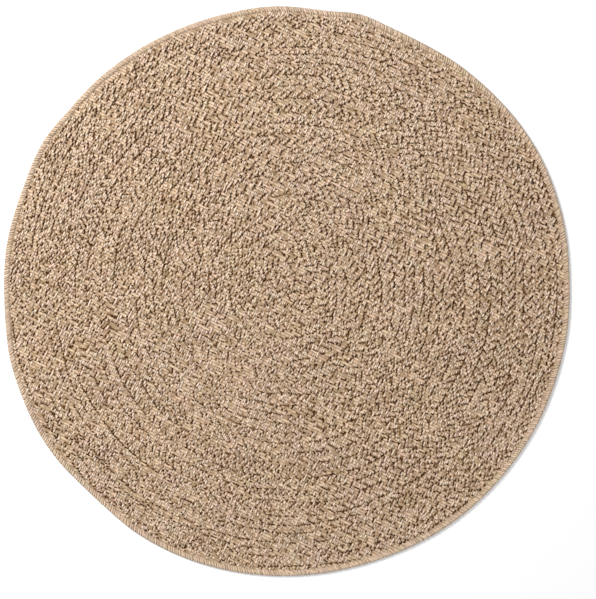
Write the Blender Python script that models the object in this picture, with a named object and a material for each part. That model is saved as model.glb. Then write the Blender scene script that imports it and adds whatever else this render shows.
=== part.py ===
"""Round outdoor rug: a flat-woven panel and the serged yarn edge that binds it.

The panel is one thick sheet lying flat. Its margin is pressed thinner from both faces, and the
yarn edge is a collar with a C-shaped section that wraps the margin all the way round.
Metres, +Z up. The origin is under the middle of the rug, on the surface that it lies on.
"""

import math
from collections import namedtuple

import bmesh
import bpy

# Driving sizes
MEAN_RADIUS = 0.6000        # of the finished outline, over its bumps and flats
PANEL_THICKNESS = 0.0055    # woven ground with its raised floats
EDGE_HEIGHT = 0.0060        # the yarn edge stands a little thicker than the panel
EDGE_WIDTH = 0.0120         # how far the yarn edge reaches in from the outline
YARN_WALL = 0.0011          # wrapped yarn above and below the margin
NOSE_WALL = 0.0016          # wrapped yarn outside the margin's cut end
LIP_CHAMFER = 0.0004        # worn corners of the two lips
CLEARANCE = 0.0003          # between the margin and the yarn
SLOPE_RUN = 0.0020          # from the pressed margin up to the full panel
FACETS_ROUND = 144
FACETS_NOSE = 6

# A round rug cut and bound by hand is never quite round. Each lobe swells the outline by
# `rise` in its `direction` and fades to nothing `half_width` degrees to either side.
Lobe = namedtuple("Lobe", "direction rise half_width")
OUTLINE_LOBES = (
    Lobe(direction=2, rise=-0.0036, half_width=12),
    Lobe(direction=30, rise=0.0048, half_width=22),
    Lobe(direction=63, rise=-0.0038, half_width=13),
    Lobe(direction=75, rise=0.0046, half_width=7),
    Lobe(direction=83, rise=-0.0026, half_width=7),
    Lobe(direction=94, rise=0.0020, half_width=9),
    Lobe(direction=115, rise=-0.0012, half_width=20),
    Lobe(direction=139, rise=-0.0016, half_width=8),
    Lobe(direction=149, rise=0.0040, half_width=10),
    Lobe(direction=160, rise=-0.0018, half_width=12),
    Lobe(direction=182, rise=-0.0028, half_width=13),
    Lobe(direction=195, rise=0.0022, half_width=9),
    Lobe(direction=209, rise=0.0030, half_width=15),
    Lobe(direction=227, rise=-0.0050, half_width=13),
    Lobe(direction=250, rise=0.0022, half_width=24),
    Lobe(direction=288, rise=-0.0020, half_width=20),
    Lobe(direction=330, rise=-0.0020, half_width=34),
    Lobe(direction=348, rise=-0.0026, half_width=20),
)

# Colours are linear red, green, blue
FIELD_COLOUR = (0.44, 0.30, 0.21)
EDGE_COLOUR = (0.56, 0.40, 0.26)
YARN_ROUGHNESS = 0.8


def outline_scale(angle):
    """Outline radius in a direction (radians), as a share of the mean radius."""
    rise = 0.0
    for lobe in OUTLINE_LOBES:
        away = (math.degrees(angle) - lobe.direction + 180) % 360 - 180
        if abs(away) < lobe.half_width:
            rise += lobe.rise * (1 + math.cos(math.pi * away / lobe.half_width)) / 2
    return 1 + rise / MEAN_RADIUS


def outline_centre():
    """Middle of the outline's bounding box."""
    angles = [2 * math.pi * step / FACETS_ROUND for step in range(FACETS_ROUND)]
    xs = [MEAN_RADIUS * outline_scale(a) * math.cos(a) for a in angles]
    ys = [MEAN_RADIUS * outline_scale(a) * math.sin(a) for a in angles]
    return (max(xs) + min(xs)) / 2, (max(ys) + min(ys)) / 2


def yarn_material(name, colour):
    """Matte polypropylene yarn."""
    material = bpy.data.materials.new(name)
    material.use_nodes = True
    shader = material.node_tree.nodes["Principled BSDF"]
    shader.inputs["Base Color"].default_value = (*colour, 1)
    shader.inputs["Roughness"].default_value = YARN_ROUGHNESS
    shader.inputs["Metallic"].default_value = 0
    return material


def turned_piece(name, section, closed, material):
    """Spin a section of (radius, height) points round Z, then ease it to the uneven outline."""
    bm = bmesh.new()
    points = [bm.verts.new((radius, 0, height)) for radius, height in section]
    for first, second in zip(points, points[1:]):
        bm.edges.new((first, second))
    if closed:
        bm.edges.new((points[-1], points[0]))
    bmesh.ops.spin(
        bm,
        geom=bm.verts[:] + bm.edges[:],
        cent=(0, 0, 0),
        axis=(0, 0, 1),
        angle=2 * math.pi,
        steps=FACETS_ROUND,
        use_merge=True,
    )
    bmesh.ops.remove_doubles(bm, verts=bm.verts[:], dist=1e-6)
    bmesh.ops.recalc_face_normals(bm, faces=bm.faces[:])

    centre_x, centre_y = outline_centre()
    for vertex in bm.verts:
        scale = outline_scale(math.atan2(vertex.co.y, vertex.co.x))
        vertex.co.x = vertex.co.x * scale - centre_x
        vertex.co.y = vertex.co.y * scale - centre_y

    mesh = bpy.data.meshes.new(name)
    bm.to_mesh(mesh)
    bm.free()
    mesh.shade_smooth()
    mesh.set_sharp_from_angle(angle=math.radians(40))
    mesh.materials.append(material)
    piece = bpy.data.objects.new(name, mesh)
    bpy.context.scene.collection.objects.link(piece)
    return piece


def panel_section():
    """Half section of the panel: flat faces, a slope down to the pressed margin, its cut end."""
    margin_low = YARN_WALL + CLEARANCE
    margin_high = EDGE_HEIGHT - YARN_WALL - CLEARANCE
    margin_end = MEAN_RADIUS - NOSE_WALL - CLEARANCE
    margin_start = MEAN_RADIUS - EDGE_WIDTH - CLEARANCE
    full_end = margin_start - SLOPE_RUN
    return [
        (0, 0),
        (full_end, 0),
        (margin_start, margin_low),
        (margin_end, margin_low),
        (margin_end, margin_high),
        (margin_start, margin_high),
        (full_end, PANEL_THICKNESS),
        (0, PANEL_THICKNESS),
    ]


def edge_section():
    """Section of the yarn edge: a round nose, two lips and the pocket that holds the margin."""
    half = EDGE_HEIGHT / 2
    lip_end = MEAN_RADIUS - EDGE_WIDTH
    pocket_end = MEAN_RADIUS - NOSE_WALL
    section = [(lip_end, LIP_CHAMFER), (lip_end + LIP_CHAMFER, 0)]
    for step in range(FACETS_NOSE + 1):
        turn = math.pi * step / FACETS_NOSE - math.pi / 2
        section.append((MEAN_RADIUS - half + half * math.cos(turn), half + half * math.sin(turn)))
    section += [
        (lip_end + LIP_CHAMFER, EDGE_HEIGHT),
        (lip_end, EDGE_HEIGHT - LIP_CHAMFER),
        (lip_end, EDGE_HEIGHT - YARN_WALL),
        (pocket_end, EDGE_HEIGHT - YARN_WALL),
        (pocket_end, YARN_WALL),
        (lip_end, YARN_WALL),
    ]
    return section


def main():
    for leftover in list(bpy.data.objects):
        bpy.data.objects.remove(leftover, do_unlink=True)
    woven_yarn = yarn_material("woven_yarn", FIELD_COLOUR)
    edge_yarn = yarn_material("edge_yarn", EDGE_COLOUR)
    turned_piece("woven_panel", panel_section(), False, woven_yarn)
    turned_piece("serged_edge", edge_section(), True, edge_yarn)


main()
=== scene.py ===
# Round outdoor rug: one flat-woven panel that imitates a coiled braid, and its serged yarn edge.
# Ribs of ground yarn run one way over the whole rug. Pale floats cross them, dark yarn shows in
# short bits both ways, and a chart of coiled braids says where the pale and the dark come up.
import math

import bpy
import numpy as np
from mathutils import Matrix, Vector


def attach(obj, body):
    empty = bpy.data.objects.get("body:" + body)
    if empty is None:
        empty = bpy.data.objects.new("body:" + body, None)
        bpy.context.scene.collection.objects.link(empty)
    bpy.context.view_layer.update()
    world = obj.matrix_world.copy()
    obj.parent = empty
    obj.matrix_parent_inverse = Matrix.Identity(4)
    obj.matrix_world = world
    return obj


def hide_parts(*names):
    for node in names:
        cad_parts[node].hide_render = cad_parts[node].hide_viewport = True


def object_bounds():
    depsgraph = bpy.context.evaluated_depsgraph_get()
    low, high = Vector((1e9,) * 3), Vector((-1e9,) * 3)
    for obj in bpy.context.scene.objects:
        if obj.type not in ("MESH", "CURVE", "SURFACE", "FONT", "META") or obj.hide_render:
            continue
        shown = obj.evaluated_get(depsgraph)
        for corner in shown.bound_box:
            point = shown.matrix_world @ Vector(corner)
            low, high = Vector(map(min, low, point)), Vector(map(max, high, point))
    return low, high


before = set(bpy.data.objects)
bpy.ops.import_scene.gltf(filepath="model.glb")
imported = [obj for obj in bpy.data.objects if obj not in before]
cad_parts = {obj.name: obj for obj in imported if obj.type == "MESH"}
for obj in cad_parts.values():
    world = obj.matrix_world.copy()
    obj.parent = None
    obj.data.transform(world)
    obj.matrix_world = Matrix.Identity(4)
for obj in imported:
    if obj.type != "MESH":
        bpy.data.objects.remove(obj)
cadLow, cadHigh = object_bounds()
fullTurn = 2 * math.pi

# Sizes are in metres unless a note says otherwise
lattice = {
    "floatAngle": 64.5,           # degrees from +X to the floats; the ribs lie square to them
    "ribPitch": 0.00604,
    "floatPitch": 0.0040,
    "reach": 0.62,                # the lines run this far either way, past the outline
    "beyond": 0.70,               # further than the rug reaches from its middle
    "fine": 0.0008,               # step along a rib or a float line
    "snap": 0.35,                 # 1 puts every float end in a valley between ribs
    "clear": 0.0140,              # the bits keep this far in from the outline
    "seed": 7,                    # another seed gives another rug of the same kind
}
rng = np.random.default_rng(lattice["seed"])


def say(text):
    print("rug:", text, flush=True)


# Outline: the corners at mid height of the edge node, which are its outermost, sorted by
# angle with straight lines between them
def outlineFromFrame():
    band, decimals = 0.0002, 4    # metres either side of mid height, places kept of an angle
    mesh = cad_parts["serged_edge"].data
    corners = np.empty(len(mesh.vertices) * 3)
    mesh.vertices.foreach_get("co", corners)
    x, y, z = corners.reshape(-1, 3).T
    middle = np.abs(z - (z.min() + z.max()) / 2) < band
    angles, first = np.unique(
        np.round(np.arctan2(y, x)[middle], decimals), return_index=True)
    return angles, np.hypot(x, y)[middle][first]


outlineAngles, outlineRadii = outlineFromFrame()


def outlineRadius(angle):
    return np.interp(angle, outlineAngles, outlineRadii, period=fullTurn)


# Distance in from the outline, measured towards the middle
def inFromOutline(x, y):
    return outlineRadius(np.arctan2(y, x)) - np.hypot(x, y)


floatTurn = math.radians(lattice["floatAngle"])
floatWay = np.array([math.cos(floatTurn), math.sin(floatTurn)])
ribWay = np.array([math.sin(floatTurn), -math.cos(floatTurn)])


# 0 below low, 1 above high, and 3t^2 - 2t^3 between them
def smooth(low, high, value):
    t = np.clip((value - low) / (high - low), 0, 1)
    return t * t * (3 - 2 * t)


def addObject(name, data):
    made = bpy.data.objects.new(name, data)
    bpy.context.scene.collection.objects.link(made)
    return made


# A mesh straight from arrays: corners, then faces of one kind after another
def makePiece(name, corners, faceSets, material, yarnMap=None, values=()):
    mesh = bpy.data.meshes.new(name)
    loops = np.concatenate([faces.ravel() for faces in faceSets]).astype(np.int32)
    sizes = np.concatenate([np.full(len(faces), faces.shape[1], np.int32) for faces in faceSets])
    starts = np.concatenate([[0], np.cumsum(sizes)[:-1]]).astype(np.int32)
    mesh.vertices.add(len(corners))
    mesh.vertices.foreach_set("co", corners.astype(np.float32).ravel())
    mesh.loops.add(len(loops))
    mesh.loops.foreach_set("vertex_index", loops)
    mesh.polygons.add(len(sizes))
    mesh.polygons.foreach_set("loop_start", starts)
    mesh.update(calc_edges=True)
    mesh.polygons.foreach_set("use_smooth", np.ones(len(sizes), bool))
    margin = 0.04                                    # keeps the whole rug inside the flat map
    span = cadHigh[0] - cadLow[0] + margin
    flatMap = mesh.uv_layers.new(name="OFBake")      # seen straight from above
    flatMap.uv.foreach_set("vector", (corners[loops, :2] / span + 0.5).astype(np.float32).ravel())
    if yarnMap is not None:
        layer = mesh.uv_layers.new(name="yarn")
        layer.uv.foreach_set("vector", yarnMap.astype(np.float32).ravel())
    for valueName, numbers in values:
        made = mesh.attributes.new(valueName, "FLOAT", "POINT")
        made.data.foreach_set("value", numbers.astype(np.float32).ravel())
    mesh.materials.append(material)
    say(f"{name}: {int((sizes - 2).sum())} triangles")
    return addObject(name, mesh)


# Closed tubes of yarn, all with the same number of stations and sides.
# corner = path + across * cos(turn) + up * sin(turn); one corner more closes each end
def makeTubes(name, path, tips, across, up, along, sides, tint, tuckShade, material):
    count, stations = path.shape[:2]
    turn = (np.arange(sides) + 0.5) * fullTurn / sides - math.pi / 2
    rings = (
        path[:, :, None, :]
        + across[:, :, None, :] * np.cos(turn)[None, None, :, None]
        + up[:, :, None, :] * np.sin(turn)[None, None, :, None]
    )
    corners = np.concatenate([rings.reshape(count, stations * sides, 3), tips], axis=1)
    perTube = stations * sides + 2
    ring, side = np.meshgrid(np.arange(stations - 1), np.arange(sides), indexing="ij")
    ring, side = ring.ravel(), side.ravel()
    after = (side + 1) % sides
    quads = np.stack([
        ring * sides + side, ring * sides + after,
        (ring + 1) * sides + after, (ring + 1) * sides + side,
    ], -1)
    s = np.arange(sides)
    last = (stations - 1) * sides
    nextSide = (s + 1) % sides
    startFan = np.stack([np.full(sides, perTube - 2), nextSide, s], -1)
    endFan = np.stack([np.full(sides, perTube - 1), last + s, last + nextSide], -1)
    shift = (np.arange(count) * perTube)[:, None, None]
    quadSet = (quads[None] + shift).reshape(-1, 4)
    fanSet = (np.concatenate([startFan, endFan])[None] + shift).reshape(-1, 3)

    # yarn map: once round the tube from 0 to 1, and along it in metres
    quadRound = np.stack([side, side + 1, side + 1, side], -1) / sides
    quadStep = np.stack([ring, ring, ring + 1, ring + 1], -1)
    fanRound = np.concatenate([
        np.stack([s + 0.5, s + 1, s], -1), np.stack([s + 0.5, s, s + 1], -1)]) / sides
    fanStep = np.concatenate([np.zeros((sides, 3), int), np.full((sides, 3), stations - 1)])
    maps = []
    for roundPlace, step in ((quadRound, quadStep), (fanRound, fanStep)):
        lengthways = along[:, step]
        places = np.stack([np.broadcast_to(roundPlace[None], lengthways.shape), lengthways], -1)
        maps.append(places.reshape(-1, 2))

    allTint = np.repeat(tint[:, None], perTube, axis=1)
    # painted shade share at each corner, full at the two tips
    allTuckShade = np.concatenate([np.repeat(tuckShade, sides, axis=1), np.ones((count, 2))], axis=1)
    return makePiece(
        name, corners.reshape(-1, 3), [quadSet, fanSet], material,
        np.concatenate(maps), [("tint", allTint), ("tuckShade", allTuckShade)])


paleFloats = {
    "halfWidth": 0.00170,
    "halfHeight": 0.00095,
    "endHeight": 0.00385,         # height of the two ends above the floor
    "lift": 0.00085,              # how much higher the middle of a long bit is
    "overlap": 0.0012,            # how much longer a bit is than its place in the chart
    "shortest": 0.0022,           # anything shorter in the chart is left out
    "least": 0.0082,              # and what is left is at least about this long
    "longest": 0.0260,            # longer ones are cut
    "splay": 0.08,                # radians that it turns out of line
    "stray": 0.0003,              # how far it lies off its place
    "bow": 0.0005,                # how far its middle bends to one side
    "sides": 4,
    "stations": (-0.82, -0.30, 0.30, 0.82),    # shares of half its length
    "toneSpread": 0.24,
    "pairTone": 0.40,             # every other float line is this much darker, painted shade beside each lighter line
    "pieces": 3,                  # the pale floats are shared out over this many pieces; each stays under 200,000 triangles
}

darkFloats = {
    "halfWidth": 0.00140,
    "halfHeight": 0.00070,
    "endHeight": 0.0039,
    "lift": 0.0004,
    "overlap": 0.0,
    "shortest": 0.0034,
    "least": 0.0064,
    "longest": 0.0105,
    "splay": 0.05,
    "stray": 0.0002,
    "bow": 0.0003,
    "sides": 4,
    "stations": (-0.66, 0.0, 0.66),
    "toneSpread": 0.30,
}

darkBits = {
    "halfWidth": 0.00140,
    "halfHeight": 0.00070,
    "endHeight": 0.0039,
    "lift": 0.00035,
    "overlap": 0.0006,
    "shortest": 0.0028,
    "least": 0.0052,
    "longest": 0.0078,
    "splay": 0.08,
    "stray": 0.0003,
    "bow": 0.0003,
    "sides": 4,
    "stations": (-0.64, 0.0, 0.64),
    "toneSpread": 0.30,
}

bitShape = {
    "taper": 0.45,                # less makes the ends of a bit blunter
    "fullLift": 0.014,            # a bit this long has all its lift
    "liftLimits": (0.55, 1.25),   # shares of it that the shortest and the longest have
    "lift": 0.18,                 # shares by which one bit differs from the next
    "least": 0.25,
    "longest": 0.20,
    "length": 0.05,
}


# Shares a little above or below 1, at most twice the spread away from it
def nearOne(spread, count):
    return 1 + spread * rng.normal(size=count).clip(-2, 2)


# Tints of a yarn spun from several tones, with 0.5 in the middle
def heather(spread, count):
    return (0.5 + spread * rng.normal(size=count)).clip(0, 1)


# Where on the yarn each tube is cut from, in metres, so that no two show the same fibres
def cutPlaces(count):
    return rng.uniform(0, 3, count)[:, None]


# Bits of yarn lying on the ribs: centre line = middle + way * s * half + side * bow * (1 - s^2),
# height = end height + lift * (1 - s^2), and width and height taper as (1 - s^4)^taper
def makeBits(name, middle, way, length, sizes, tint, material):
    count = len(middle)
    s = np.array(sizes["stations"])
    side = np.stack([-way[:, 1], way[:, 0]], -1)
    half = length / 2
    bow = sizes["bow"] * rng.normal(size=count)
    reach = np.clip(length / bitShape["fullLift"], *bitShape["liftLimits"])
    reach = reach * nearOne(bitShape["lift"], count)

    def placed(t):
        flat = (
            middle[:, None, :]
            + way[:, None, :] * (t[None, :] * half[:, None])[:, :, None]
            + side[:, None, :] * (bow[:, None] * (1 - t * t)[None, :])[:, :, None]
        )
        height = sizes["endHeight"] + sizes["lift"] * reach[:, None] * (1 - t * t)[None, :]
        return np.concatenate([flat, height[:, :, None]], -1)

    taper = (1 - s ** 4) ** bitShape["taper"] / math.cos(math.pi / sizes["sides"])
    across = np.zeros((count, len(s), 3))
    across[:, :, :2] = side[:, None, :] * (sizes["halfWidth"] * taper)[None, :, None]
    up = np.zeros_like(across)
    up[:, :, 2] = sizes["halfHeight"] * taper[None]
    along = s[None, :] * half[:, None] + cutPlaces(count)
    # painted shade, 0 in the middle of a bit and 1 at its ends
    tuckShade = np.broadcast_to(s[None, :] ** 2, (count, len(s)))
    return makeTubes(
        name, placed(s), placed(np.array([-1.0, 1.0])), across, up, along,
        sizes["sides"], tint, tuckShade, material)


braids = {
    "centre": (0.0046, 0.0043),   # the imitated coil starts a little off the middle
    "cover": 0.66,                # radius that the rings fill at least
    "innerRing": 0.0240,          # width of the first ring
    "outerRing": 0.0200,          # width of the last ring
    "ringWander": 0.34,           # share by which one ring's width differs from the next
    "strandPitch": 0.0180,        # along a ring, from one arrow to the next
    "pitchWander": 0.20,          # share by which it differs from ring to ring
    "strandWander": 0.25,         # and from strand to strand
    "slant": 0.0140,              # how far a strand leans over half a ring
    "slantWander": 0.30,
    "slantRadius": 0.010,         # nearer the middle the lean grows no more
    "splitWander": 0.10,          # how far the arrows lie from the middle of a ring
    "gapWidth": 0.0024,
    "gapDepth": 1.2,
    "gapLeast": 0.55,             # share of the depth in the faintest gap
    "gapMost": 1.30,
    "crestPlace": 0.30,           # shares of a strand's width
    "crestWidth": 0.14,
    "crestRise": 0.8,
    "toneDepth": 0.05,
    "borderWidth": 0.0017,
    "borderDepth": 1.20,
    "borderFade": 0.65,           # share by which a border fades in some stretches of a ring
    "borderWaves": (4, 10),       # a ring has at least 4 such stretches and fewer than 10
    "borderBreak": 0.75,          # share by which it differs from one strand to the next
    "arrowDepth": 0.10,
    "seed": 7,
    # swing of the coil: metres, waves in a turn, radians for each metre out, start
    "swings": (
        (0.0014, 3, 0, 1.1),
        (0.0012, 5, 9, 0.4),
        (0.0013, 11, 31, 0.0),
        (0.0012, 17, -54, 2.0),
    ),
    "swingStart": (0.03, 0.15),   # the swing comes in between these radii
}


# Chart of the imitated braids. Rings follow one another outwards, and the two halves of each
# hold slanted strands that meet in arrows. The value is high on a strand and low in the gap
# beside it and on the border between two rings; each dip is exp(-(distance / width)^2).
def braidChart(x, y):
    picker = np.random.default_rng(braids["seed"])   # the same braids at each call
    kinds, halfKinds = 9973, 5003                    # both more than all strands of a half
    ringStep = 10                                    # radians, more than a full turn
    x = x - braids["centre"][0]
    y = y - braids["centre"][1]
    r, angle = np.hypot(x, y), np.arctan2(y, x)
    rings = int(braids["cover"] * 2 / (braids["innerRing"] + braids["outerRing"])) + 2
    widths = np.linspace(braids["innerRing"], braids["outerRing"], rings)
    widths = widths * (1 + braids["ringWander"] * picker.uniform(-1, 1, rings))
    edges = np.concatenate([[0], np.cumsum(widths)])
    # the rings wander a little, as a coil sewn by hand does
    swing = sum(
        size * np.sin(waves * angle + turn * r + begin)
        for size, waves, turn, begin in braids["swings"])
    r = np.maximum(r + swing * smooth(*braids["swingStart"], r), 0)
    ring = np.clip(np.searchsorted(edges, r, side="right") - 1, 0, rings - 1)
    inRing = (r - edges[ring]) / widths[ring]
    split = 0.5 + braids["splitWander"] * picker.uniform(-1, 1, rings)[ring]
    outer = inRing > split
    fromMiddle = np.where(outer, (inRing - split) / (1 - split), (split - inRing) / split)
    middle = (edges[:-1] + edges[1:]) / 2
    pitch = braids["strandPitch"] * (1 + braids["pitchWander"] * picker.uniform(-1, 1, rings))
    lean = braids["slant"] * (1 + braids["slantWander"] * picker.uniform(-1, 1, rings))
    around = np.maximum(np.round(fullTurn * middle / pitch), 3).astype(int)

    # the strands of all rings in one row: ring number * ring step + angle of each one's start
    strandRing = np.repeat(np.arange(rings), around)
    share = 1 + braids["strandWander"] * picker.uniform(-1, 1, around.sum())
    share = share / np.bincount(strandRing, share)[strandRing] * fullTurn
    total = np.cumsum(share) - share
    strandStart = total - strandRing * fullTurn + strandRing * ringStep
    leanTurn = lean[ring] * fromMiddle / np.maximum(r, braids["slantRadius"])
    key = ring * ringStep + (angle - leanTurn) % fullTurn
    strand = np.clip(np.searchsorted(strandStart, key, side="right") - 1, 0, len(share) - 1)
    across = (key - strandStart[strand]) / share[strand]
    across = np.where(outer, across + 0.5, across)
    nextStrand = across >= 1
    across = across % 1
    pitchHere = share[strand] * middle[ring]
    toGap = np.minimum(across, 1 - across) * pitchHere
    kind = (strand + nextStrand + outer * halfKinds) % kinds
    gapStrength = picker.uniform(braids["gapLeast"], braids["gapMost"], kinds)[kind]
    tone = picker.normal(size=kinds)[kind]
    gap = gapStrength * np.exp(-((toGap / braids["gapWidth"]) ** 2))
    crest = np.exp(-(((across - braids["crestPlace"]) / braids["crestWidth"]) ** 2))
    toBorder = np.minimum(inRing, 1 - inRing) * widths[ring]
    toArrow = np.abs(inRing - split) * widths[ring]
    # a border shows in some stretches of a ring and fades in others, and differs by strand
    turns = picker.integers(*braids["borderWaves"], rings)[ring]
    phase = picker.uniform(0, fullTurn, rings)[ring]
    border = np.exp(-((toBorder / braids["borderWidth"]) ** 2))
    border = border * (1 + braids["borderFade"] * np.sin(turns * angle + phase))
    border = border * (1 + braids["borderBreak"] * picker.uniform(-1, 1, kinds)[kind])
    arrow = np.exp(-((toArrow / braids["borderWidth"]) ** 2))
    value = braids["crestRise"] * crest + braids["toneDepth"] * tone
    value = value - braids["gapDepth"] * gap
    return value - braids["borderDepth"] * border - braids["arrowDepth"] * arrow


# A field averaged with a bell of the given size, by its Fourier transform
def softened(field, steps, size):
    down = np.fft.fftfreq(field.shape[0], steps[0])[:, None]
    along = np.fft.rfftfreq(field.shape[1], steps[1])[None, :]
    bell = np.exp(-2 * (math.pi * size) ** 2 * (down ** 2 + along ** 2))
    return np.fft.irfft2(np.fft.rfft2(field) * bell, s=field.shape)


reading = {
    "evening": 0.016,             # patches wider than this all hold as much pale and dark
    "wornSize": 0.009,            # patches where the braids are weaker or stronger
    "wornShare": 0.18,
    "wornLimits": (0.15, 2.0),
    "noise": 0.085,               # unevenness of the reading, and the size of its grains
    "roughSize": 0.0024,
    "lightShare": 0.25,           # share of the lines where pale yarn comes up
    "darkShare": 0.235,           # and where dark yarn may
}


# The chart read along every rib, or along lines that cross them. Four things come back: the
# lines' places across, the steps along them, the value at each step, and what is well inside
def chartLines(alongRibs, gap):
    reach = int(lattice["reach"] / gap)
    lines = np.arange(-reach, reach + 1) * gap
    places = np.arange(-lattice["reach"], lattice["reach"], lattice["fine"])
    line, place = np.meshgrid(lines, places, indexing="ij")
    u, v = (place, line) if alongRibs else (line, place)
    x = u * ribWay[0] + v * floatWay[0]
    y = u * ribWay[1] + v * floatWay[1]
    value = braidChart(x, y)
    steps = (gap, lattice["fine"])
    value = value - softened(value, steps, reading["evening"])
    # some patches of the braids are worn smooth and others stand out
    worn = softened(rng.normal(size=value.shape), steps, reading["wornSize"])
    value = value * (1 + reading["wornShare"] * worn / worn.std()).clip(*reading["wornLimits"])
    rough = softened(rng.normal(size=value.shape), steps, reading["roughSize"])
    value = value + reading["noise"] * rough / rough.std()
    return lines, places, value, inFromOutline(x, y) > lattice["clear"]


# Crests of the chart, all places in the top share
def crestsOf(value, inside):
    return inside & (value > np.quantile(value[inside], 1 - reading["lightShare"]))


# Gaps of the chart, the places in the low share that lie below the lines on either side
def gapsOf(value, inside):
    low = inside & (value < np.quantile(value[inside], reading["darkShare"]))
    low[1:-1] &= value[1:-1] <= np.minimum(value[:-2], value[2:])
    return low


# Bits of yarn where a line of the chart is true, cut where they get too long; bits shorter
# than shortest are left out. Middles, directions and lengths come back
def bitsOnLines(lines, places, chosen, alongRibs, sizes):
    padded = np.pad(chosen, ((0, 0), (1, 1)))
    line, first = np.nonzero(chosen & ~padded[:, :-2])
    last = np.nonzero(chosen & ~padded[:, 2:])[1]
    start, end = places[first], places[last] + lattice["fine"]
    if not alongRibs:
        # float ends are drawn towards the valleys between ribs, where the yarn goes down
        for ends in (start, end):
            valley = (np.floor(ends / lattice["ribPitch"]) + 0.5) * lattice["ribPitch"]
            ends += lattice["snap"] * (valley - ends)
    length = end - start
    wanted = sizes["least"] * (1 + bitShape["least"] * rng.uniform(-1, 1, len(length)))
    start = start - np.maximum(wanted - length, 0) / 2
    kept = length > sizes["shortest"]
    length = np.maximum(length, wanted)
    line, start, length = line[kept], start[kept], length[kept]
    longest = sizes["longest"] * (1 + bitShape["longest"] * rng.uniform(-1, 1, len(line)))
    parts = np.maximum(np.ceil(length / longest), 1).astype(int)
    part = np.arange(parts.sum()) - np.repeat(np.cumsum(parts) - parts, parts)
    line, start, length = (np.repeat(given, parts) for given in (line, start, length / parts))
    place = start + length * (part + 0.5)
    if alongRibs:
        u, v, way = place, lines[line], ribWay
    else:
        u, v, way = lines[line], place, floatWay
    middle = u[:, None] * ribWay + v[:, None] * floatWay
    splay = sizes["splay"] * rng.normal(size=len(line))
    turned = np.stack([
        way[0] * np.cos(splay) - way[1] * np.sin(splay),
        way[0] * np.sin(splay) + way[1] * np.cos(splay)], -1)
    middle = middle + sizes["stray"] * rng.normal(size=middle.shape)
    length = (length + sizes["overlap"]) * nearOne(bitShape["length"], len(line))
    return middle, turned, length, line


def nodeOf(tree, kind, links=(), **settings):
    made = tree.nodes.new(kind)
    for key, value in settings.items():
        setattr(made, key, value)
    for socket, source in links:
        target = made.inputs[socket]
        if isinstance(source, bpy.types.NodeSocket):
            tree.links.new(source, target)
        else:
            target.default_value = source
    return made


def mathOf(tree, operation, a, b=0.0, c=0.0, clamp=False):
    places = [(0, a), (1, b), (2, c)]
    made = nodeOf(tree, "ShaderNodeMath", places, operation=operation, use_clamp=clamp)
    return made.outputs[0]


# On a colour mix, inputs 6 and 7 and output 2 are the colours
def mixOf(tree, factor, a, b, blend="MIX"):
    places = [(0, factor), (6, a), (7, b)]
    made = nodeOf(tree, "ShaderNodeMix", places, data_type="RGBA", blend_type=blend)
    return made.outputs[2]


def colour(red, green, blue):
    return (red, green, blue, 1.0)


def noiseOf(tree, vector, scale, detail, roughness):
    return nodeOf(tree, "ShaderNodeTexNoise", [
        ("Vector", vector), ("Scale", scale), ("Detail", detail), ("Roughness", roughness),
    ]).outputs["Fac"]


# A value moved from one span to another, and held at its ends
def rangeOf(tree, value, span, newSpan=(0.0, 1.0)):
    return nodeOf(tree, "ShaderNodeMapRange", [
        ("Value", value), ("From Min", span[0]), ("From Max", span[1]),
        ("To Min", newSpan[0]), ("To Max", newSpan[1]),
    ]).outputs["Result"]


def bumpOf(tree, height, strength, distance, under=()):
    return nodeOf(tree, "ShaderNodeBump", [
        ("Height", height), ("Strength", strength), ("Distance", distance), *under,
    ]).outputs["Normal"]


def newMaterial(name):
    material = bpy.data.materials.new(name)
    material.use_nodes = True
    tree = material.node_tree
    return material, tree, tree.nodes["Principled BSDF"]


dye = {
    "wideNoise": (9.0, 3.0, 0.55),    # patches for each metre, detail, roughness
    "wideSpan": (0.35, 0.68),         # noise at which a patch is all pink, and all warm
    "warm": (1.012, 1.0, 0.96),
    "pink": (1.0, 0.995, 1.015),
    "scale": 45.0,                    # small patches for each metre
    "depth": 0.14,
}


# Uneven dye: a colour warmer or cooler in wide patches, and turned a little to one side or
# another in small ones, colour * (1 + depth * (noise - 0.5)) for each of red, green and blue
def unevenDye(tree, place, base):
    wide = rangeOf(tree, noiseOf(tree, place, *dye["wideNoise"]), dye["wideSpan"])
    warm = mixOf(tree, 1.0, base, colour(*dye["warm"]), "MULTIPLY")
    pink = mixOf(tree, 1.0, base, colour(*dye["pink"]), "MULTIPLY")
    toned = mixOf(tree, wide, pink, warm)
    small = nodeOf(tree, "ShaderNodeTexNoise", [("Vector", place), ("Scale", dye["scale"])])
    turned = nodeOf(tree, "ShaderNodeVectorMath", [
        (0, small.outputs["Color"]), (1, (dye["depth"],) * 3), (2, (1 - dye["depth"] / 2,) * 3),
    ], operation="MULTIPLY_ADD")
    return mixOf(tree, 1.0, toned, turned.outputs["Vector"], "MULTIPLY")


# deep, middle and pale are the tones that tint picks from, and the value after them is the depth
# of the painted shade on the ends of the yarn
paleYarn = {
    "deep": (0.46, 0.322, 0.205),
    "middle": (0.68, 0.515, 0.378),
    "pale": (0.85, 0.67, 0.525),
    "tuckShadeDepth": 0.6,
    "rough": 0.62,
    "gloss": 0.30,
}

darkYarn = {
    "deep": (0.026, 0.008, 0.001),
    "middle": (0.070, 0.023, 0.003),
    "pale": (0.24, 0.125, 0.052),
    "tuckShadeDepth": 0.5,
    "rough": 0.70,
    "gloss": 0.0,
}

edgeYarn = {
    "deep": (0.49, 0.36, 0.245),
    "middle": (0.66, 0.495, 0.352),
    "pale": (0.80, 0.62, 0.46),
    "tuckShadeDepth": 0.5,
    "rough": 0.66,
    "gloss": 0.30,
}

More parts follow.
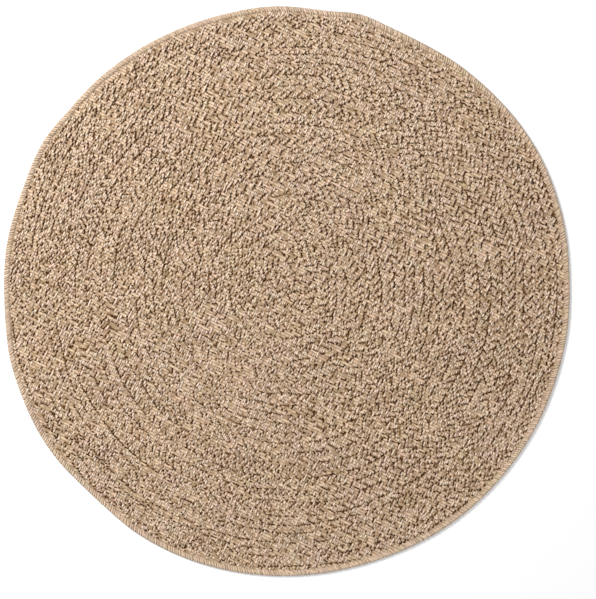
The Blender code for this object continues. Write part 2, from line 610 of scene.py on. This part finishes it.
fibres = {
    "twist": 130.0,               # turns in a metre of yarn
    "around": 5.0,                # how close the streaks lie, round the yarn and along it
    "along": 90.0,
    "noise": (1.6, 3.0, 0.6),     # scale, detail and roughness of the streaks
    "span": (0.3, 0.7),           # noise at the darkest and at the lightest streak
    "depth": (0.74, 1.16),        # tone of the two
    "relief": 0.00025,
    "bump": 0.6,
    "roughSpan": (-0.10, 0.12),   # roughness less and more than the yarn's own
    # painted shade on the yarn ends: its power and its dark brown colour
    "tuckShadePower": 2.0,
    "tuckShadeTone": (0.075, 0.035, 0.015),
    "sheen": 0.3,                 # share of the gloss
    "sheenRough": 0.5,
}


# Dyed polypropylene yarn: tint picks the tone of each bit, twisted fibres run along it as streaks,
# and painted shade darkens its ends where they go under the ribs and into the panel
def yarnMaterial(name, finish):
    material, tree, shader = newMaterial(name)
    tint = nodeOf(tree, "ShaderNodeAttribute", attribute_name="tint").outputs["Fac"]
    tuckShade = nodeOf(tree, "ShaderNodeAttribute", attribute_name="tuckShade").outputs["Fac"]
    yarn = nodeOf(tree, "ShaderNodeUVMap", uv_map="yarn").outputs["UV"]
    place = nodeOf(tree, "ShaderNodeTexCoord").outputs["Object"]

    parts = nodeOf(tree, "ShaderNodeSeparateXYZ", [("Vector", yarn)])
    twisted = mathOf(tree, "MULTIPLY_ADD", parts.outputs["Y"], fibres["twist"], parts.outputs["X"])
    fibre = nodeOf(tree, "ShaderNodeCombineXYZ", [
        ("X", mathOf(tree, "MULTIPLY", twisted, fibres["around"])),
        ("Y", mathOf(tree, "MULTIPLY", parts.outputs["Y"], fibres["along"]))]).outputs["Vector"]
    streaks = noiseOf(tree, fibre, *fibres["noise"])

    ramp = nodeOf(tree, "ShaderNodeValToRGB", [("Fac", tint)])
    ramp.color_ramp.elements[0].color = colour(*finish["deep"])
    ramp.color_ramp.elements[1].color = colour(*finish["pale"])
    ramp.color_ramp.elements.new(0.5).color = colour(*finish["middle"])
    toned = unevenDye(tree, place, ramp.outputs["Color"])
    streakTone = rangeOf(tree, streaks, fibres["span"], fibres["depth"])
    streaked = mixOf(tree, 1.0, toned, streakTone, "MULTIPLY")
    # painted shade: the ends are darkened towards a dark brown
    deepTuckShade = mathOf(tree, "POWER", tuckShade, fibres["tuckShadePower"])
    shade = mathOf(tree, "MULTIPLY", deepTuckShade, finish["tuckShadeDepth"], clamp=True)
    tuckShaded = mixOf(tree, shade, streaked, colour(*fibres["tuckShadeTone"]))
    tree.links.new(tuckShaded, shader.inputs["Base Color"])
    roughness = rangeOf(
        tree, streaks, (0.0, 1.0), [finish["rough"] + change for change in fibres["roughSpan"]])
    tree.links.new(roughness, shader.inputs["Roughness"])
    bump = bumpOf(tree, streaks, fibres["bump"], fibres["relief"])
    tree.links.new(bump, shader.inputs["Normal"])
    shader.inputs["Sheen Weight"].default_value = fibres["sheen"] * finish["gloss"]
    shader.inputs["Sheen Roughness"].default_value = fibres["sheenRough"]
    shader.inputs["Specular IOR Level"].default_value = finish["gloss"]
    return material


groundYarn = {
    "deep": (0.40, 0.275, 0.17),
    "pale": (0.72, 0.54, 0.385),
    # colour of the valleys: dark ground yarn, darkened further as painted shade
    "valley": (0.275, 0.17, 0.088),
    "valleyShadeShare": (0.26, 0.48),  # shares of the pitch between which the valley colour, with its painted shade, comes in
    "fleckLength": 0.011,         # along a rib
    "fleckShift": 7.31,           # gives every rib flecks of its own
    "fleckNoise": (1.0, 1.0, 0.4),    # scale, detail and roughness
    "fleckSpan": (0.38, 0.62),    # noise at which the yarn is all deep, and all pale
    "fleckBump": 0.7,
    "fleckRelief": 0.0006,
    "fibreAlong": 260.0,          # streaks in a metre along a rib, and across it
    "fibreAcross": 1900.0,
    "fibreNoise": (1.0, 2.0, 0.6),
    "fibreSpan": (0.3, 0.7),
    "fibreDepth": (0.8, 1.15),
    "fibreBump": 0.5,
    "fibreRelief": 0.0003,
    "rough": 0.75,
    "gloss": 0.2,
}


# Ground weave: ribs of tan yarn in bits of several tones, with dark valleys between the ribs: dark
# ground yarn there, with painted shade over it.
# v / pitch is whole on the crest of a rib, so |v / pitch - whole| runs from 0 there to 0.5
# in the middle of a valley
def groundMaterial():
    material, tree, shader = newMaterial("ribGround")
    place = nodeOf(tree, "ShaderNodeTexCoord").outputs["Object"]
    turned = nodeOf(tree, "ShaderNodeMapping", [("Vector", place)])
    turned.inputs["Rotation"].default_value = (0, 0, math.pi / 2 - floatTurn)
    parts = nodeOf(tree, "ShaderNodeSeparateXYZ", [("Vector", turned.outputs["Vector"])])
    ribPlace = mathOf(tree, "DIVIDE", parts.outputs["Y"], lattice["ribPitch"])
    ribNumber = mathOf(tree, "ROUND", ribPlace)
    fromCrest = mathOf(tree, "ABSOLUTE", mathOf(tree, "SUBTRACT", ribPlace, ribNumber))
    valley = rangeOf(tree, fromCrest, groundYarn["valleyShadeShare"])
    cell = nodeOf(tree, "ShaderNodeCombineXYZ", [
        ("X", mathOf(tree, "DIVIDE", parts.outputs["X"], groundYarn["fleckLength"])),
        ("Y", mathOf(tree, "MULTIPLY", ribNumber, groundYarn["fleckShift"]))]).outputs["Vector"]
    flecks = noiseOf(tree, cell, *groundYarn["fleckNoise"])
    fibre = nodeOf(tree, "ShaderNodeCombineXYZ", [
        ("X", mathOf(tree, "MULTIPLY", parts.outputs["X"], groundYarn["fibreAlong"])),
        ("Y", mathOf(tree, "MULTIPLY", parts.outputs["Y"], groundYarn["fibreAcross"])),
    ]).outputs["Vector"]
    streaks = noiseOf(tree, fibre, *groundYarn["fibreNoise"])
    fleckShare = rangeOf(tree, flecks, groundYarn["fleckSpan"])
    body = mixOf(tree, fleckShare, colour(*groundYarn["deep"]), colour(*groundYarn["pale"]))
    streakTone = rangeOf(tree, streaks, groundYarn["fibreSpan"], groundYarn["fibreDepth"])
    streaked = mixOf(tree, 1.0, unevenDye(tree, place, body), streakTone, "MULTIPLY")
    # painted shade together with dark ground yarn in the valleys
    valleyShaded = mixOf(tree, valley, streaked, colour(*groundYarn["valley"]))
    tree.links.new(valleyShaded, shader.inputs["Base Color"])
    bump = bumpOf(tree, flecks, groundYarn["fleckBump"], groundYarn["fleckRelief"])
    fine = bumpOf(
        tree, streaks, groundYarn["fibreBump"], groundYarn["fibreRelief"], [("Normal", bump)])
    tree.links.new(fine, shader.inputs["Normal"])
    shader.inputs["Roughness"].default_value = groundYarn["rough"]
    shader.inputs["Specular IOR Level"].default_value = groundYarn["gloss"]
    return material


# How far each line runs from start along way before it comes within inset of the outline,
# found by halving the span between a place inside and one outside
def runWithin(start, way, inset, halvings=40):
    low = np.zeros(len(start))
    high = np.full(len(start), lattice["beyond"])
    for _ in range(halvings):
        run = (low + high) / 2
        x, y = (start + run[:, None] * way).T
        within = inFromOutline(x, y) > inset
        low = np.where(within, run, low)
        high = np.where(within, high, run)
    return low


wovenGround = {
    "ribTop": 0.0040,             # heights above the floor
    "ribValley": 0.0030,
    "backRelief": 0.0005,
    "marginLow": 0.00150,
    "marginHigh": 0.00440,
    "marginStart": 0.0128,        # in from the outline
    "marginEnd": 0.0021,
    "slope": 0.0030,              # over which the ribs come out of the margin
    "endGap": 0.00002,            # keeps the first and last rows from shrinking to a point
    "rowGap": 0.0010,             # least distance from those to the next row
    "spread": 2.2,                # above 1 the columns crowd towards the outline
    "rowsPerRib": 3,
    "columns": 32,
}


# Ground weave as a closed sheet: rows of constant v, columns across each row's chord.
# top = valley + (crest - valley) * |cos(pi v / pitch)|, pressed flat under the edge yarn
def makeGround(material):
    sizes = wovenGround
    pitch = lattice["ribPitch"]
    origin = np.zeros((1, 2))
    topEnd = runWithin(origin, floatWay, sizes["marginEnd"])[0]
    lowEnd = runWithin(origin, -floatWay, sizes["marginEnd"])[0]
    rowStep = pitch / sizes["rowsPerRib"]
    firstRow = math.ceil((sizes["rowGap"] - lowEnd) / rowStep)
    lastRow = math.floor((topEnd - sizes["rowGap"]) / rowStep)
    inner = np.arange(firstRow, lastRow + 1) * rowStep
    v = np.concatenate([[sizes["endGap"] - lowEnd], inner, [topEnd - sizes["endGap"]]])
    right = runWithin(v[:, None] * floatWay, ribWay, sizes["marginEnd"])
    left = -runWithin(v[:, None] * floatWay, -ribWay, sizes["marginEnd"])
    w = np.linspace(-1, 1, sizes["columns"] + 1)
    share = np.sign(w) * (1 - (1 - np.abs(w)) ** sizes["spread"])
    u = (left + right)[:, None] / 2 + (right - left)[:, None] / 2 * share[None, :]
    vGrid = np.broadcast_to(v[:, None], u.shape)
    x = u * ribWay[0] + vGrid * floatWay[0]
    y = u * ribWay[1] + vGrid * floatWay[1]
    slopeEnd = sizes["marginStart"] - sizes["slope"]
    inward = smooth(slopeEnd, sizes["marginStart"], inFromOutline(x, y))
    crest = np.abs(np.cos(math.pi * vGrid / pitch))
    ribs = sizes["ribValley"] + (sizes["ribTop"] - sizes["ribValley"]) * crest
    top = sizes["marginHigh"] + (ribs - sizes["marginHigh"]) * inward
    back = sizes["backRelief"] * (1 - crest)
    low = sizes["marginLow"] + (back - sizes["marginLow"]) * inward
    rows, columns = u.shape
    corners = np.concatenate([
        np.stack([x, y, top], -1).reshape(-1, 3), np.stack([x, y, low], -1).reshape(-1, 3)])
    index = np.arange(rows * columns).reshape(rows, columns)
    below = index + rows * columns
    # u to the right and v away from the viewer turn anticlockwise seen from above
    upper = np.stack([index[:-1, :-1], index[:-1, 1:], index[1:, 1:], index[1:, :-1]], -1)
    lower = np.stack([below[:-1, :-1], below[1:, :-1], below[1:, 1:], below[:-1, 1:]], -1)
    rim = np.concatenate([index[0, :], index[1:, -1], index[-1, -2::-1], index[-2:0:-1, 0]])
    rimLow = rim + rows * columns
    wall = np.stack([rim, rimLow, np.roll(rimLow, -1), np.roll(rim, -1)], -1)
    faces = [upper.reshape(-1, 4), lower.reshape(-1, 4), wall]
    return makePiece("wovenGround", corners, faces, material)


sergedYarn = {
    "pitch": 0.00520,
    "halfWidth": 0.00265,
    "narrowing": 0.25,            # share of the width lost at the lips
    "halfHeight": 0.00095,
    "lip": 0.0118,                # how far in the yarn reaches, above and below
    "dip": 0.0009,                # how far the lips are drawn into the panel
    "noseDepth": 0.0022,          # of the half oval round the outside
    "noseShare": 0.45,            # share of the stations that lie on it
    "slant": 0.55,                # sideways run for each metre in from the outline
    "sides": 4,
    "stations": 11,
    "tipOut": 0.0006,
    "tipDrop": 0.0003,
    "jitter": 0.22,               # share of the pitch
    "leanWander": 0.10,           # shares by which one wrap differs from the next
    "reachWander": 0.05,
    "pairTone": 0.10,             # every other wrap is this much lighter, the rest darker
    "toneSpread": 0.16,
    # painted shade: the yarn is darker at the lips, where it goes into the panel
    "lipShade": 0.80,
    "noseShade": 0.80,            # painted shade: the outer face is darker than the top
    "noseSpan": (-0.15, 0.45),    # cosines of the turn between which that shade comes in
}


# Edge yarn: each wrap starts at the upper lip, goes round the outside and ends at the lower lip.
# In the upright plane its centre line is straight, then half an oval, then straight again
def makeEdge(material):
    sizes = sergedYarn
    # an even count, so that lighter and darker wraps alternate all the way round
    count = int(round(fullTurn * outlineRadii.mean() / sizes["pitch"] / 2)) * 2
    start = (np.arange(count) + sizes["jitter"] * rng.uniform(-1, 1, count)) * fullTurn / count
    thick = cadHigh[2] - cadLow[2]
    middleHeight = cadLow[2] + thick / 2
    rise = thick / 2 - sizes["halfHeight"]
    noseIn = sizes["halfHeight"] + sizes["noseDepth"]
    turnShare = np.linspace(-1, 1, sizes["stations"])
    bend = np.clip(turnShare / sizes["noseShare"], -1, 1) * math.pi / 2
    flat = np.clip((np.abs(turnShare) - sizes["noseShare"]) / (1 - sizes["noseShare"]), 0, 1)
    inward = noseIn - sizes["noseDepth"] * np.cos(bend) + flat * (sizes["lip"] - noseIn)
    height = -rise * np.sin(bend)
    height = height - np.sign(height) * sizes["dip"] * flat ** 3
    halfWidth = sizes["halfWidth"] * (1 - sizes["narrowing"] * flat ** 2)
    sideways = np.where(turnShare < 0, -1, 1) * sizes["slant"] * (inward - inward.min())

    lean = 1 + sizes["leanWander"] * rng.normal(size=count)
    reach = 1 + sizes["reachWander"] * rng.normal(size=count)
    inwardAll = inward[None, :] + flat[None, :] * ((reach - 1) * sizes["lip"])[:, None]
    mean = outlineRadii.mean()
    angle = start[:, None] + sideways[None, :] * lean[:, None] / mean
    radius = outlineRadius(angle) - inwardAll
    z = middleHeight + np.broadcast_to(height[None, :], radius.shape)
    path = np.stack([radius * np.cos(angle), radius * np.sin(angle), z], -1)

    step = np.gradient(path, axis=1)
    step /= np.linalg.norm(step, axis=-1, keepdims=True)
    outwards = np.stack([np.cos(angle), np.sin(angle), np.zeros_like(angle)], -1)
    normal = outwards * np.cos(bend)[None, :, None]
    normal[:, :, 2] -= np.sin(bend)[None, :]
    across = np.cross(normal, step)
    across /= np.linalg.norm(across, axis=-1, keepdims=True)
    normal = np.cross(step, across)
    across = across * halfWidth[None, :, None]
    up = normal * sizes["halfHeight"]
    tips = np.stack([
        path[:, 0] - step[:, 0] * sizes["tipOut"], path[:, -1] + step[:, -1] * sizes["tipOut"]], 1)
    tips[:, 0, 2] -= sizes["tipDrop"]
    tips[:, 1, 2] += sizes["tipDrop"]
    run = np.cumsum(np.linalg.norm(np.diff(path, axis=1), axis=-1), axis=1)
    along = np.pad(run, ((0, 0), (1, 0))) + cutPlaces(count)
    pairs = np.where(np.arange(count) % 2 == 0, 1, -1)
    tint = 0.5 + sizes["pairTone"] * pairs + sizes["toneSpread"] * rng.normal(size=count)
    # painted shade: darker at the lips and on the outer face of the nose
    noseShadeShare = sizes["noseShade"] * smooth(*sizes["noseSpan"], np.cos(bend)) * (flat == 0)
    tuckShade = np.broadcast_to(np.maximum(sizes["lipShade"] * flat ** 2, noseShadeShare), radius.shape)
    return makeTubes(
        "sergedYarn", path, tips, across, up, along,
        sizes["sides"], tint.clip(0, 1), tuckShade, material)


say("chart of braids")
floatLines, floatPlaces, floatValue, floatInside = chartLines(False, lattice["floatPitch"])
light = crestsOf(floatValue, floatInside)

say("materials")
paleFinish = yarnMaterial("paleYarn", paleYarn)
darkFinish = yarnMaterial("darkYarn", darkYarn)
edgeFinish = yarnMaterial("edgeYarn", edgeYarn)

say("pieces")
ground = makeGround(groundMaterial())

paleMiddle, paleWay, paleLength, paleLine = bitsOnLines(
    floatLines, floatPlaces, light, False, paleFloats)
paleTint = heather(paleFloats["toneSpread"], len(paleMiddle))
# painted shade: the odd float lines are darker, as if in the shadow of their neighbours
paleTint = (paleTint + paleFloats["pairTone"] * (0.5 - paleLine % 2)).clip(0, 1)
pieces = []
sharedOut = np.array_split(np.arange(len(paleMiddle)), paleFloats["pieces"])
for number, chosen in enumerate(sharedOut, 1):
    pieces.append(makeBits(
        f"paleFloats{number}", paleMiddle[chosen], paleWay[chosen], paleLength[chosen],
        paleFloats, paleTint[chosen], paleFinish))

for name, alongRibs, pitch, sizes in (
    ("darkFloats", False, lattice["floatPitch"] / 2, darkFloats),
    ("darkBits", True, lattice["ribPitch"] / 2, darkBits),
):
    lines, places, value, inside = chartLines(alongRibs, pitch)
    gaps = gapsOf(value, inside)
    middle, way, length, _ = bitsOnLines(lines, places, gaps, alongRibs, sizes)
    tint = heather(sizes["toneSpread"], len(middle))
    pieces.append(makeBits(name, middle, way, length, sizes, tint, darkFinish))

edge = makeEdge(edgeFinish)

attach(ground, "root")
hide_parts("woven_panel")
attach(edge, "root")
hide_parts("serged_edge")
for piece in pieces:
    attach(piece, "root")


studio = {
    "floorHalf": 30.0,
    "floorTone": 0.93,
    "floorRough": 0.9,
    "skyStrength": 0.55,
    # name, place, side of the lamp and watts
    "lamps": (
        ("keyLight", (-2.4, 1.8, 2.4), 1.0, 140.0),
        ("fillLight", (1.8, -1.6, 3.0), 3.0, 25.0),
    ),
    "lens": 85.0,                 # millimetres, and so is the sensor
    "sensor": 36.0,
    "cameraPlace": (0.0236, -0.0178, 2.9845),
}


# Studio: a plain pale floor and soft light from the upper left
def makeStudio():
    floorMesh = bpy.data.meshes.new("studioFloor")
    half = studio["floorHalf"]
    floorCorners = [(-half, -half, 0), (half, -half, 0), (half, half, 0), (-half, half, 0)]
    floorMesh.from_pydata(floorCorners, [], [(0, 1, 2, 3)])
    floor = addObject("studioFloor", floorMesh)
    material, _, shader = newMaterial("studioWhite")
    shader.inputs["Base Color"].default_value = colour(*[studio["floorTone"]] * 3)
    shader.inputs["Roughness"].default_value = studio["floorRough"]
    shader.inputs["Specular IOR Level"].default_value = 0.0
    floorMesh.materials.append(material)

    world = bpy.data.worlds.new("softSky")
    world.use_nodes = True
    sky = world.node_tree.nodes["Background"]
    sky.inputs["Color"].default_value = colour(1.0, 1.0, 1.0)
    sky.inputs["Strength"].default_value = studio["skyStrength"]
    bpy.context.scene.world = world

    for name, place, size, power in studio["lamps"]:
        data = bpy.data.lights.new(name, "AREA")
        data.size = size
        data.energy = power
        lamp = addObject(name, data)
        lamp.location = place
        aim = -np.array(place)
        lamp.rotation_euler = (
            math.atan2(math.hypot(aim[0], aim[1]), -aim[2]), 0,
            math.atan2(aim[1], aim[0]) - math.pi / 2)


def makeCamera():
    data = bpy.data.cameras.new("camera")
    data.lens = studio["lens"]
    data.sensor_width = studio["sensor"]
    camera = addObject("camera", data)
    camera.location = studio["cameraPlace"]
    bpy.context.scene.camera = camera


makeStudio()
makeCamera()
bpy.context.scene.view_settings.view_transform = "Standard"
